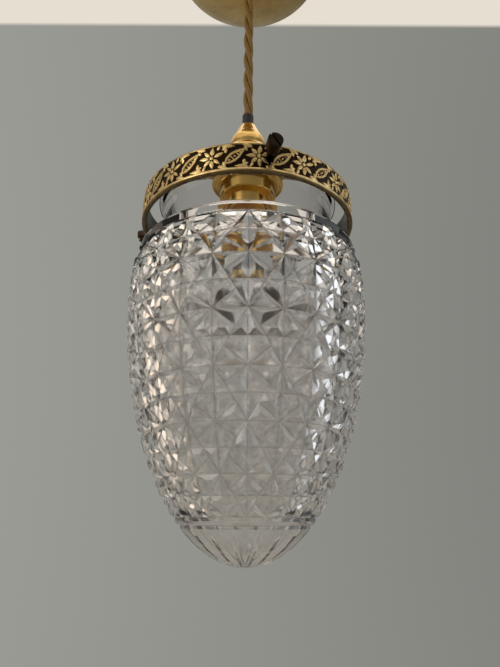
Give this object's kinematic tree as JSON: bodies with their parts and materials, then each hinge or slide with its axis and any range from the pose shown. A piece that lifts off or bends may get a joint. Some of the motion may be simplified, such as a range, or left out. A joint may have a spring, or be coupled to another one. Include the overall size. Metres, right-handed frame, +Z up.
{
  "type": "pendant ceiling light",
  "caption": "Pendant ceiling light: star-cut clear glass acorn shade in an embossed brass gallery, on a short twisted flex from a domed ceiling rose.",
  "frame": {"origin": "on the lamp's axis, on the face that meets the ceiling", "axes": "+Z up, along the lamp's axis; -Y is the front; +X is to the right seen from the front"},
  "size_m": [0.131, 0.133, 0.3979],
  "materials": {
    "bracket_steel": "zinc plated, satin",
    "ceiling_brass": "aged, satin",
    "holder_brass": "polished, warm",
    "gallery_brass": "antique, dark ground with rubbed high spots",
    "contact_brass": "machined",
    "bulb_brass": "plain, thin-drawn",
    "contact_solder": "dull solder",
    "spring_steel": "bright wire",
    "screw_bronze": "blackened bronze, satin",
    "black_plastic": "matt black",
    "block_plastic": "natural, satin",
    "holder_ceramic": "unglazed, cream",
    "flex_braid": "antique gold braid",
    "live_brown": "insulation, brown",
    "neutral_blue": "insulation, blue",
    "earth_green": "insulation, green and yellow",
    "shade_glass": "clear, cut and polished",
    "bulb_glass": "clear, blown",
    "lead_wire": "nickel wire",
    "filament_tungsten": "dark coiled wire"
  },
  "bodies": {
    "ceiling": {"ceiling_bracket": "bracket_steel", "rose_cover": "ceiling_brass", "cover_screws": "ceiling_brass", "rose_cord_grip": "ceiling_brass", "rose_grip_nut": "bracket_steel", "rose_grip_insert": "black_plastic", "terminal_block": "block_plastic", "terminal_screws": "bracket_steel", "rose_flex_end": "flex_braid", "rose_core_live": "live_brown", "rose_core_earth": "earth_green", "rose_core_neutral": "neutral_blue"},
    "flex": {"twisted_flex": "flex_braid"},
    "lantern": {"flex_sleeve": "black_plastic", "flex_end": "flex_braid", "holder_cap": "holder_brass", "holder_barrel": "holder_brass", "holder_core": "holder_ceramic", "holder_terminals": "contact_brass", "holder_terminal_screws": "contact_brass", "holder_wire_live": "live_brown", "holder_wire_neutral": "neutral_blue", "holder_wire_earth": "earth_green", "plunger_springs": "spring_steel", "shade_ring": "holder_brass", "gallery_spider": "gallery_brass", "gallery_ring": "gallery_brass", "gallery_rivets": "gallery_brass", "glass_shade_neck": "shade_glass", "glass_shade_upper": "shade_glass", "glass_shade_lower": "shade_glass", "glass_shade_tip": "shade_glass"},
    "plungers": {"contact_plungers": "contact_brass"},
    "bulb": {"bulb_cap": "bulb_brass", "bulb_insulator": "black_plastic", "bulb_contacts": "contact_solder", "bulb_envelope": "bulb_glass", "bulb_stem": "bulb_glass", "bulb_lead_wires": "lead_wire", "bulb_filament": "filament_tungsten"},
    "screw_1": {"gallery_screw_1": "screw_bronze"},
    "screw_2": {"gallery_screw_2": "screw_bronze"},
    "screw_3": {"gallery_screw_3": "screw_bronze"}
  },
  "joints": [
    {"name": "cord_swing", "type": "hinge", "parent": "ceiling", "child": "flex", "pos_m": [0, 0, -0.04107], "axis": [1, 0, 0], "range_deg": [-15, 15]},
    {"name": "lantern_tilt", "type": "hinge", "parent": "flex", "child": "lantern", "pos_m": [0, 0, -0.13493], "axis": [0, 1, 0], "range_deg": [-8, 8]},
    {"name": "gallery_screw_1_back_out", "type": "slide", "parent": "lantern", "child": "screw_1", "axis": [0.1908, -0.9816, 0], "range_m": [0, 0.005]},
    {"name": "gallery_screw_2_back_out", "type": "slide", "parent": "lantern", "child": "screw_2", "axis": [0.7547, 0.6561, 0], "range_m": [0, 0.005]},
    {"name": "gallery_screw_3_back_out", "type": "slide", "parent": "lantern", "child": "screw_3", "axis": [-0.9455, 0.3256, 0], "range_m": [0, 0.005]},
    {"name": "bulb_push", "type": "slide", "parent": "lantern", "child": "bulb", "axis": [0, 0, 1], "range_m": [0, 0.0025], "stiffness_N_per_m": 800, "springref_m": -0.004},
    {"name": "plunger_push", "type": "slide", "parent": "lantern", "child": "plungers", "axis": [0, 0, 1], "range_m": [0, 0.0025], "deforming": ["plunger_springs"]}
  ],
  "couplings": [
    {"joint": "plunger_push", "follows": "bulb_push", "ratio": 1}
  ]
}
